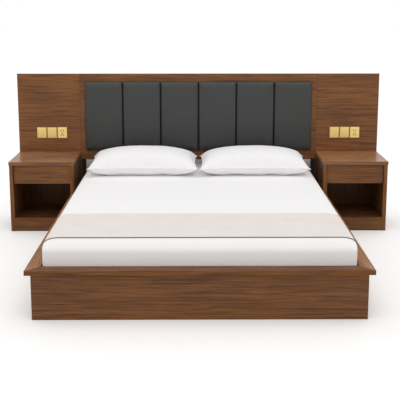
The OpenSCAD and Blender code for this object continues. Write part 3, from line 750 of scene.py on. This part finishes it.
@dataclass
class Runner:
    """The linen runner across the bed, with a piped front edge."""

    roll_w: float = 88 * MM
    roll_h: float = 42 * MM
    lift: float = 1.2 * MM
    thickness: float = 1.8 * MM
    piping_r: float = 2.6 * MM
    step: float = 8 * MM
    rows: int = 50
    tuck: float = 12 * MM

    def path(self) -> list[Vector]:
        """The line over the mattress that the runner follows, from one rim to the other.

        Returns:
            Points at even steps in the XZ plane.
        """
        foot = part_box("bed_runner")[0].z
        half, _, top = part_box("mattress")[1]
        side = [Vector((half, 0, foot)), Vector((half, 0, top - self.roll_h))]
        wide, high = self.roll_w, self.roll_h
        right = side + [
            Vector((half - wide + wide * math.cos(a), 0, top - high + high * math.sin(a)))
            for a in map(math.radians, range(6, 91, 6))
        ]
        line = [Vector((-p.x, 0, p.z)) for p in right] + right[::-1]
        even, left_over = [line[0]], 0.0
        for a, b in zip(line, line[1:]):
            span = (b - a).length
            at = self.step - left_over
            while at <= span:
                even.append(a.lerp(b, at / span))
                at += self.step
            left_over = span - (at - self.step)
        even.append(line[-1])
        return even

    def build(self, mattress: Piece) -> None:
        """Makes the runner and its piping.

        Args:
            mattress: The piece that it lies on.
        """
        line = self.path()
        front, back = (corner.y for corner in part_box("bed_runner"))
        front += self.tuck
        width, length = back - front, sum((b - a).length for a, b in zip(line, line[1:]))
        cells = len(line) - 1
        bpy.ops.object.select_all(action="DESELECT")
        bpy.ops.mesh.primitive_grid_add(x_subdivisions=cells, y_subdivisions=self.rows, size=1)
        runner = settle(bpy.context.object, "linen_runner")

        def laid(co: Vector) -> Vector:
            """Puts a grid point on the line over the mattress."""
            at = line[round((co.x + 0.5) * cells)]
            return Vector((at.x, front + (co.y + 0.5) * width, at.z))

        reshape(runner, laid)
        wrap = {"wrap_method": "NEAREST_SURFACEPOINT", "wrap_mode": "ABOVE_SURFACE"}
        modify(runner, "SHRINKWRAP", target=mattress, offset=self.lift, **wrap)
        modify(runner, "SMOOTH", factor=0.5, iterations=3)
        first_row = front + 0.3 * width / self.rows
        edge = sorted(
            (v.co.copy() for v in runner.data.vertices if v.co.y < first_row),
            key=lambda co: (co.x, co.z if co.x < 0 else -co.z),
        )
        modify(runner, "SOLIDIFY", thickness=self.thickness, offset=1)
        dress(runner, RUNNER_LINEN)
        piping = self.piping(edge)
        for piece in (runner, piping):
            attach(piece, ROOT)
        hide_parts("bed_runner")
        log.info("runner: flat %.3f by %.3f m", width, length)

    def piping(self, edge: Sequence[Vector]) -> Piece:
        """Sews a round cord cover along the runner's front edge.

        Args:
            edge: The edge's points, from one side to the other.

        Returns:
            The piece.
        """
        curve = bpy.data.curves.new("runner_piping", "CURVE")
        curve.dimensions = "3D"
        curve.bevel_depth, curve.bevel_resolution = self.piping_r, 2
        curve.use_fill_caps = True
        spline = curve.splines.new("POLY")
        spline.points.add(len(edge) - 1)
        for point, co in zip(spline.points, edge):
            point.co = (co.x, co.y - 0.4 * self.piping_r, co.z + 0.5 * self.piping_r, 1)
        holder = bpy.data.objects.new("runner_piping", curve)
        bpy.context.scene.collection.objects.link(holder)
        select_only(holder)
        bpy.ops.object.convert(target="MESH")
        piece = settle(bpy.context.object, "runner_piping")
        dress(piece, PIPING_BROWN)
        return piece


@dataclass
class Pillow:
    """A pillow in its case: a dome over a sewn edge, flattened where it lies."""

    columns: int = 96
    rows: int = 52
    width: float = 824 * MM
    depth: float = 432 * MM
    rise: float = 119 * MM
    seat: float = 76 * MM
    under_x: float = 190 * MM
    under_y: float = 22 * MM
    under_low_mm: float = 9
    under_high_mm: float = 6
    gap: float = 30 * MM
    gap_y: float = 160 * MM
    apart: float = 2 * MM
    pull: float = 0.035
    pull_curve: float = 1.1
    full_x: float = 2.5
    full_y: float = 2.0
    lean: float = math.radians(1.7)
    edge_w: float = 5 * MM
    edge_t: float = 2.4 * MM
    tip: float = 12 * MM
    tip_curve: int = 6
    droop: float = 12 * MM
    swell: float = 9 * MM
    lumps_mm: tuple[float, float] = (2.2, 0.5)
    pucker_mm: float = 1.6

    def envelope(self, name: str) -> Piece:
        """Sews two cloth layers together.

        Args:
            name: The piece's name.

        Returns:
            A closed flat box round the origin, one unit wide and deep.
        """
        bpy.ops.object.select_all(action="DESELECT")
        cells = {"x_subdivisions": self.columns, "y_subdivisions": self.rows}
        bpy.ops.mesh.primitive_grid_add(size=1, **cells)
        bpy.ops.object.mode_set(mode="EDIT")
        bpy.ops.mesh.select_all(action="SELECT")
        bpy.ops.mesh.extrude_region_move(TRANSFORM_OT_translate={"value": (0, 0, self.edge_t)})
        bpy.ops.mesh.select_all(action="SELECT")
        bpy.ops.mesh.normals_make_consistent(inside=False)
        bpy.ops.object.mode_set(mode="OBJECT")
        return settle(bpy.context.object, name)

    def spread(self, share: float, cells: int) -> tuple[float, float]:
        """Turns an even grid into one that is finer near the seam.

        Args:
            share: The place in the even grid, from -0.5 to 0.5.
            cells: Cells across the grid; the first and the last are the sewn edge.

        Returns:
            The place from seam to seam, from -1 to 1, and how far it lies on the sewn edge.
        """
        step = round((share + 0.5) * cells) - 1
        inner = cells - 2
        beyond = -1.0 if step < 0 else 1.0 if step > inner else 0.0
        step = min(max(step, 0), inner)
        return math.sin(math.pi * (step / inner - 0.5)), beyond

    def domed(self, co: Vector, seed: float) -> Vector:
        """Lifts a point of the flat envelope to the filled pillow's shape.

        Args:
            co: The point in the flat envelope.
            seed: Moves the unevenness, so that two pillows differ.

        Returns:
            The point round the seam's middle.
        """
        u, out_x = self.spread(co.x, self.columns)
        v, out_y = self.spread(co.y, self.rows)
        side = 1 if co.z > self.edge_t / 2 else -1
        pull_x = self.pull * (1 - abs(v) ** self.pull_curve)
        x = u * self.width / 2 * (1 - pull_x) + out_x * self.edge_w
        y = v * self.depth / 2 * (1 - self.pull * (1 - u * u)) + out_y * self.edge_w
        x -= u * self.edge_w
        y -= v * self.edge_w
        tip = (abs(u) * abs(v)) ** self.tip_curve
        x += u * tip * self.tip
        y += v * tip * self.tip
        if side > 0:
            full = max(0.0, (1 - abs(u) ** self.full_x) * (1 - abs(v) ** self.full_y)) ** 0.5
            reach = self.rise - self.swell
        else:
            in_x = min(1.0, (1 - abs(u)) * self.width / 2 / self.under_x)
            in_y = min(1.0, (1 - abs(v)) * self.depth / 2 / self.under_y)
            full = max(0.0, 1 - (1 - in_x) ** 2 - (1 - in_y) ** 2) ** 0.5
            front = 1 - min(1.0, (1 - abs(v)) * self.depth / 2 / self.gap_y)
            raised_mm = self.under_high_mm - self.under_low_mm * (1 - abs(u))
            reach = self.seat - raised_mm * MM - self.gap * front**2
        lumps = noise.noise(Vector((x * 9, y * 9, seed + side)))
        near = full * (1 - full) * 4
        pucker = noise.noise(Vector((x * 38, y * 38, seed + 7 * side)))
        z = side * (self.edge_t / 2 + (reach - self.edge_t / 2) * full)
        lumps *= self.lumps_mm[0] if side > 0 else self.lumps_mm[1]
        z += (lumps * full + self.pucker_mm * pucker * near) * MM - tip * self.droop
        return Vector((x, y, z))

    def build(self) -> None:
        """Makes both pillows."""
        for side, seed in (("right", 3.0), ("left", 11.0)):
            low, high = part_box(f"{side}_pillow")
            piece = self.envelope(f"{side}_pillow_in_case")
            reshape(piece, lambda co: self.domed(co, seed))
            self.fill(piece)
            self.lay(piece, low, high)
            modify(piece, "SUBSURF", levels=1, render_levels=1)
            dress(piece, PILLOWCASE)
            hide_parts(f"{side}_pillow")
            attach(piece, ROOT)
            log.info("%s pillow: %d faces", side, len(piece.data.polygons))

    def fill(self, piece: Piece) -> None:
        """Blows the case up against its sewn edge, which draws short pleats along it."""
        seam = self.edge_t * 0.6
        places = {tuple(v.co) for v in piece.data.vertices if abs(v.co.z) < seam}
        Stuffing(pressure=3.0, frames=18, cap=self.swell, spare=0.02).fill(
            piece, lambda co: 1.0 if tuple(co) in places else 0.0
        )
        modify(piece, "SMOOTH", factor=0.4, iterations=1)

    def lay(self, piece: Piece, low: Vector, high: Vector) -> None:
        """Lays the filled pillow on the mattress, leaning at the pads.

        Args:
            piece: The pillow round the origin.
            low: The CAD pillow's lowest corner.
            high: Its highest corner.
        """
        turn_c, turn_s = math.cos(self.lean), math.sin(self.lean)

        def leaned(co: Vector) -> Vector:
            """Leans a point back and flattens it where it meets the mattress."""
            y, z = co.y * turn_c - co.z * turn_s, co.y * turn_s + co.z * turn_c
            return Vector((co.x, y, max(z, -self.seat)))

        reshape(piece, leaned)
        back = max(v.co.y for v in piece.data.vertices)
        middle = (low.x + high.x) / 2
        middle += math.copysign(self.apart, middle)
        centre = Vector((middle, high.y - back, low.z + self.seat))
        reshape(piece, lambda co: co + centre)


# ---- Headboard ----


@dataclass
class Headboard:
    """Three veneered boards, six upholstered pads, and the frame behind them."""

    pads: int = 6
    voxel: float = 7 * MM
    shrink: float = 0.4 * MM
    meet: float = 0.3 * MM
    swell: float = 7 * MM
    edge_r: float = 9 * MM
    roll_top: float = 30 * MM
    roll_foot: float = 12 * MM
    top_d: float = 4.5 * MM
    foot_d: float = 2.1 * MM
    held_d: float = 14 * MM
    spline_w: float = 1.2 * MM
    spline_in: float = 2.5 * MM
    stop_w: float = 9 * MM

    def build(self) -> None:
        """Dresses the boards and makes the pads."""
        for shift, node in enumerate(("left_wing_panel", "centre_panel", "right_wing_panel"), 1):
            dress_node(node, walnut(Axis.X, float(shift)))
            ease(node, 0.6 * MM)
        for node in ("back_rails", "pad_backboards"):
            dress_node(node, birch(Axis.X))
        dress_node("back_stiles", birch(Axis.Z))
        dress_node("lower_back_panel", CHARCOAL_BOARD)
        dress_node("wiring_boxes", BOX_PLASTIC)
        self.build_splines()
        self.build_pads()
        self.build_stop_pad()

    def build_splines(self) -> None:
        """Closes each seam between two boards with a veneered strip set back from their faces."""
        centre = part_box("centre_panel")
        for side, edge, wing in (
            ("left", centre[0].x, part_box("left_wing_panel")[1].x),
            ("right", centre[1].x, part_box("right_wing_panel")[0].x),
        ):
            low, high = centre
            depth = high.y - low.y - self.spline_in - 0.5 * MM
            x, y = (edge + wing) / 2, low.y + self.spline_in + depth / 2
            bpy.ops.object.select_all(action="DESELECT")
            bpy.ops.mesh.primitive_cube_add(size=1, location=(x, y, (low.z + high.z) / 2))
            piece = bpy.context.object
            piece.scale = (self.spline_w, depth, high.z - low.z - 4 * MM)
            settle(piece, f"{side}_seam_spline")
            modify(piece, "BEVEL", width=0.2 * MM, segments=2, limit_method="ANGLE")
            dress(piece, walnut(Axis.Z, 12.0))
            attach(piece, ROOT)
        log.info("seam splines set")

    def build_pads(self) -> None:
        """Makes one upholstered pad and copies it along the row."""
        low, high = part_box("upholstered_panel_1")
        size, middle = high - low, (low + high) / 2
        bpy.ops.object.select_all(action="DESELECT")
        bpy.ops.mesh.primitive_cube_add(size=1, location=middle + Vector((0, self.swell / 2, 0)))
        piece = bpy.context.object
        piece.scale = size - Vector((2 * self.shrink, self.swell, 2 * self.shrink))
        settle(piece, "leatherette_pad_1")
        front = low.y + self.swell + 1 * MM
        pick_edges(piece, lambda a, b: a.y < front and b.y < front)
        bpy.ops.mesh.bevel(offset=self.edge_r, segments=4, affect="EDGES")
        bpy.ops.object.mode_set(mode="OBJECT")
        modify(piece, "REMESH", mode="VOXEL", voxel_size=self.voxel)
        board_y = high.y - self.held_d
        Stuffing(cap=self.swell * 0.8, bending=3.0).fill(
            piece, lambda co: 1.0 if co.y > board_y else 0.0
        )

        def inside(co: Vector) -> Vector:
            """Rolls the front to the pad's edges and keeps a point within the pad's own place."""
            if co.y < board_y:
                top = math.exp(-max(0.0, high.z - co.z) / self.roll_top)
                foot = math.exp(-max(0.0, co.z - low.z) / self.roll_foot)
                co = co + Vector((0, self.top_d * top + self.foot_d * foot, 0))
            x = limit(co.x, low.x - self.meet, high.x + self.meet)
            return Vector((x, limit(co.y, low.y, high.y), limit(co.z, low.z, high.z)))

        reshape(piece, inside)
        modify(piece, "SMOOTH", factor=0.5, iterations=5)
        modify(piece, "SUBSURF", levels=1, render_levels=1)
        reach = max(vertex.co.x for vertex in piece.data.vertices) - middle.x
        wide = (size.x / 2 + self.meet) / reach
        reshape(piece, lambda co: Vector((middle.x + (co.x - middle.x) * wide, co.y, co.z)))
        row = [piece]
        for i in range(2, self.pads + 1):
            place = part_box(f"upholstered_panel_{i}")[0] - low
            row.append(twin(piece, f"leatherette_pad_{i}", place))
        for i, pad in enumerate(row, 1):
            dress(pad, CHARCOAL_LEATHERETTE)
            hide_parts(f"upholstered_panel_{i}")
            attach(pad, ROOT)
        log.info("pads: %d faces each", len(piece.data.polygons))

    def build_stop_pad(self) -> None:
        """Makes the grey pad that the mattress stops against."""
        low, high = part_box("mattress_stop_pad")
        piece = node_copy("mattress_stop_pad", "grey_stop_pad")
        middle = (low + high) / 2
        reach = (high.x - middle.x + self.stop_w) / (high.x - middle.x)
        reshape(
            piece,
            lambda co: middle + Vector(((co.x - middle.x) * reach, *((co - middle) * 0.998)[1:])),
        )
        modify(piece, "REMESH", mode="VOXEL", voxel_size=7 * MM)
        Stuffing(cap=3 * MM).fill(piece, lambda co: 1.0 if co.y > high.y - 3 * MM else 0.0)
        reshape(
            piece,
            lambda co: Vector((co.x, limit(co.y, low.y, high.y), limit(co.z, low.z, high.z))),
        )
        modify(piece, "SMOOTH", factor=0.5, iterations=3)
        dress(piece, STOP_FABRIC)
        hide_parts("mattress_stop_pad")
        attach(piece, ROOT)
        log.info("stop pad: %d faces", len(piece.data.polygons))


@dataclass
class SwitchPlates:
    """Brass switch plates with rockers and sockets on both wings."""

    face_w: float = 74 * MM
    liner: tuple[float, float] = (6.4 * MM, 11.5 * MM)
    liner_w: float = 2.1 * MM
    liner_proud: float = 0.3 * MM
    # Each slot's place right of and above the face's middle, in millimetres, and its slant
    slots: tuple[tuple[float, float, float], ...] = (
        (-9.5, 17, 0),
        (9.5, 17, 0),
        (0, -3, 0),
        (-9, -19, 30),
        (9, -19, -30),
    )
    lens_r: float = 3.4 * MM
    lens_proud: float = 0.5 * MM
    tilt: float = math.radians(3)

    def build(self) -> None:
        """Dresses the plates, and adds a lens to each first rocker and liners to the sockets."""
        # The frames' darker brass is painted shade for the gaps between the plates.
        dress_node("switch_frames", SHADED_FRAME_BRASS)
        dress_node("socket_faces", BRASS)
        ease("switch_frames", 0.8 * MM)
        for side in ("left", "right"):
            for gang in (1, 2):
                dress_node(f"{side}_rocker_{gang}", BRASS)
            self.lens(side)
        self.build_liners()
        log.info("switch plates dressed")

    def build_liners(self) -> None:
        """Sets a dark nylon liner round each slot of both sockets."""
        low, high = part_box("socket_faces")
        middle = (low.z + high.z) / 2
        bpy.ops.object.select_all(action="DESELECT")
        bpy.ops.mesh.primitive_plane_add(size=1, rotation=(math.radians(90), 0, 0))
        piece = bpy.context.object
        piece.scale = (*self.liner, 1)
        settle(piece, "socket_liner")
        bpy.ops.object.mode_set(mode="EDIT")
        bpy.ops.mesh.select_all(action="SELECT")
        bpy.ops.mesh.inset(thickness=self.liner_w)
        bpy.ops.mesh.delete(type="FACE")
        bpy.ops.mesh.select_all(action="SELECT")
        bpy.ops.mesh.extrude_region_move(TRANSFORM_OT_translate={"value": (0, 1 * MM, 0)})
        bpy.ops.mesh.select_all(action="SELECT")
        bpy.ops.mesh.normals_make_consistent(inside=False)
        bpy.ops.object.mode_set(mode="OBJECT")
        modify(piece, "BEVEL", width=0.25 * MM, segments=2, limit_method="ANGLE")
        front = low.y - self.liner_proud
        for side, x in (("left", low.x + self.face_w / 2), ("right", high.x - self.face_w / 2)):
            for i, (right, up, slant) in enumerate(self.slots, 1):
                liner = twin(piece, f"{side}_socket_liner_{i}", Vector((0, 0, 0)))
                turn = Matrix.Rotation(math.radians(slant), 3, "Y")
                place = Vector((x + right * MM, front, middle + up * MM))
                reshape(liner, lambda co: turn @ co + place)
                dress(liner, LINER_NYLON)
                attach(liner, ROOT)
        bpy.data.objects.remove(piece)

    def lens(self, side: str) -> None:
        """Adds the small opal lens in the middle of a rocker.

        Args:
            side: "left" or "right".
        """
        body = f"{side}_rocker_1"
        low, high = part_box(body)
        middle = (low + high) / 2
        face_y = low.y + (high.z - low.z) / 2 * math.sin(self.tilt)
        bpy.ops.object.select_all(action="DESELECT")
        bpy.ops.mesh.primitive_cylinder_add(
            vertices=32,
            radius=self.lens_r,
            depth=2 * MM,
            location=(middle.x, face_y + 1 * MM - self.lens_proud, middle.z),
            rotation=(math.radians(90) + self.tilt, 0, 0),
        )
        piece = settle(bpy.context.object, f"{side}_switch_lens")
        modify(piece, "BEVEL", width=0.6 * MM, segments=3, limit_method="ANGLE")
        dress(piece, INDICATOR_PLASTIC)
        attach(piece, body)


# ---- Base and nightstands ----


@dataclass
class BedBase:
    """The box base with its overhanging rim, and the slat deck inside it."""

    def build(self) -> None:
        """Dresses every board of the base."""
        # Painted light and shade: the foot panel, side panels and foot rim are painted darker, as
        # shaded under and beside the rim and mattress, and the side rims' tops lighter, as lit from
        # above.
        dress_node("foot_panel", walnut(Axis.X, 4.0, 0.86, 0.86))
        dress_node("foot_rim", walnut(Axis.X, 5.0, 0.71, 0.84, 1.15))
        for i, side in enumerate(("left", "right")):
            dress_node(f"{side}_side_panel", walnut(Axis.Y, 1.0 + i, 0.9, 0.9))
            dress_node(f"{side}_rim", walnut(Axis.Y, 3.0 + i, 1.3, 0.76, 1.3, Shade.PAINTED_TOP_LIGHT))
            ease(f"{side}_side_panel")
            ease(f"{side}_rim")
        ease("foot_panel")
        ease("foot_rim")
        for node in ("head_cross_rail", "slats"):
            dress_node(node, birch(Axis.X))
        for node in ("centre_beam", "slat_ledgers"):
            dress_node(node, birch(Axis.Y))
        for node in ("centre_legs", "corner_blocks"):
            dress_node(node, birch(Axis.Z))
        dress_node("joining_bolts", ZINC_STEEL)
        log.info("base dressed")


@dataclass
class Nightstand:
    """One nightstand: an open carcass with a drawer."""

    side: str

    def build(self) -> None:
        """Dresses every board of the nightstand and its drawer."""
        shift = 6.0 if self.side == "left" else 8.0
        # Painted light and shade in the tones: the top is painted lighter, as lit from above, and
        # the shelf, inner side, back panel and outer side's face darker, as shaded in the carcass
        # and beside the bed.
        boards = (
            ("stand_top", Axis.X, 1.34, 0.97, 1.3),
            ("bottom_shelf", Axis.X, 0.42, 0.85, 1.17),
            ("drawer_front", Axis.X, 1.0, 0.97, 1.25),
            ("outer_side", Axis.Z, 0.8, 1.06, 1.15),
            ("inner_side", Axis.Z, 0.52, 0.98, 1.12),
            ("back_panel", Axis.Z, 0.4, 0.4, 1.16),
        )
        for i, (node, grain, tone, edge, ior) in enumerate(boards):
            shade = Shade.PAINTED_TOP_LIGHT if node == "stand_top" else Shade.FRESH
            finish = walnut(grain, shift + 0.3 * i, tone, edge, ior, shade)
            dress_node(f"{self.side}_{node}", finish)
            ease(f"{self.side}_{node}")
        for node, grain in (("sides", Axis.Y), ("back", Axis.X), ("bottom", Axis.X)):
            dress_node(f"{self.side}_drawer_{node}", birch(grain))
        dress_node(f"{self.side}_drawer_runners", ZINC_STEEL)
        log.info("%s nightstand dressed", self.side)


# ---- Studio ----


def seen_directly(tree: Tree) -> Socket:
    """Tells what the camera, a gloss or clear plastic sees from what only lights a surface.

    Args:
        tree: The node tree.

    Returns:
        1 for a camera, glossy or transmitted ray, and 0 for the rest.
    """
    path = add(tree, "LightPath")
    seen = path.outputs["Is Camera Ray"]
    for ray in ("Is Glossy Ray", "Is Transmission Ray"):
        seen = calc(tree, "MAXIMUM", seen, path.outputs[ray])
    return seen


@dataclass(frozen=True)
class FloorPaint(Finish):
    """Matt studio floor: white to the camera, and a paler grey as a source of bounced light."""

    colour: str
    bounce: str
    glow: float

    def wire(self, tree: Tree, shader: Node) -> None:
        """Adds the glow that the camera and reflections see.

        Args:
            tree: The material's node tree.
            shader: Its Principled shader.
        """
        place = add(tree, "TexCoord").outputs["Object"]
        seen = seen_directly(tree)
        looks = {
            "Base Color": mixed(tree, seen, self.bounce, self.colour),
            "Normal": dented(tree, speckle(tree, place, 40), 0.05, 0.2),
            "Roughness": 0.9,
            "Specular IOR Level": 0.1,
            "Emission Color": (1.0, 1.0, 1.0, 1.0),
            "Emission Strength": calc(tree, "MULTIPLY", seen, self.glow),
        }
        feed(tree, shader, looks)


@dataclass
class Studio:
    """A white room with a soft high light, and the camera at the photograph's angle."""

    ambient: float = 0.765
    sun: float = 0.82
    sun_height: float = 80.0
    sun_width: float = 60.0
    floor: float = 60.0
    lens: float = 69.084
    camera: tuple[float, float, float] = (-0.0264, -5.1562, 1.8293)
    pitch: float = 9.363
    turn: float = -0.361
    shift: float = -0.2

    def build(self) -> None:
        """Makes the floor, the light and the camera."""
        self.build_floor()
        self.build_world()
        self.build_sun()
        self.build_camera()
        log.info("studio built")

    def build_floor(self) -> None:
        """Makes the floor, so wide that its far edge is lost in the white background."""
        bpy.ops.object.select_all(action="DESELECT")
        bpy.ops.mesh.primitive_plane_add(size=self.floor)
        floor = settle(bpy.context.object, "studio_floor")
        dress(floor, FloorPaint("studio_floor_matt_white", "#FCFBFA", "#D6D4D2", 0.08))

    def build_world(self) -> None:
        """Makes the white room: even light, and white where the camera or a gloss looks."""
        world = bpy.data.worlds.new("white_room")
        bpy.context.scene.world = world
        world.use_nodes = True
        tree = world.node_tree
        strength = remap(tree, seen_directly(tree), self.ambient, 1.0)
        background = tree.nodes["Background"]
        background.inputs["Color"].default_value = (1.0, 1.0, 1.0, 1.0)
        tree.links.new(strength, background.inputs["Strength"])

    def build_sun(self) -> None:
        """Makes the broad light from above the foot of the bed."""
        lamp = bpy.data.lights.new("soft_box", "SUN")
        lamp.energy, lamp.angle = self.sun, math.radians(self.sun_width)
        holder = bpy.data.objects.new("soft_box", lamp)
        holder.rotation_euler = (math.radians(90 - self.sun_height), 0, 0)
        bpy.context.scene.collection.objects.link(holder)

    def build_camera(self) -> None:
        """Sets the camera at the foot of the bed."""
        data = bpy.data.cameras.new("camera")
        data.lens, data.sensor_width, data.shift_y = self.lens, 36.0, self.shift
        camera = bpy.data.objects.new("camera", data)
        camera.location = self.camera
        camera.rotation_euler = (math.radians(90 - self.pitch), 0, math.radians(self.turn))
        bpy.context.scene.collection.objects.link(camera)
        bpy.context.scene.camera = camera
        bpy.context.scene.view_settings.view_transform = "Standard"


def main() -> None:
    """Builds the studio and the bed, one sub-assembly after the other."""
    logging.basicConfig(level=logging.INFO, format="%(message)s")
    Studio().build()
    BedBase().build()
    # Painted shade: the plinths are painted darker, as shaded under the carcass.
    dress_node("plinths", walnut(Axis.X, 9.9, 0.8, 0.82))
    dress_node("cabinet_runners", ZINC_STEEL)
    for side in ("left", "right"):
        Nightstand(side).build()
    Headboard().build()
    SwitchPlates().build()
    mattress = Mattress().build()
    Runner().build(mattress)
    Pillow().build()


if __name__ == "__main__":
    main()
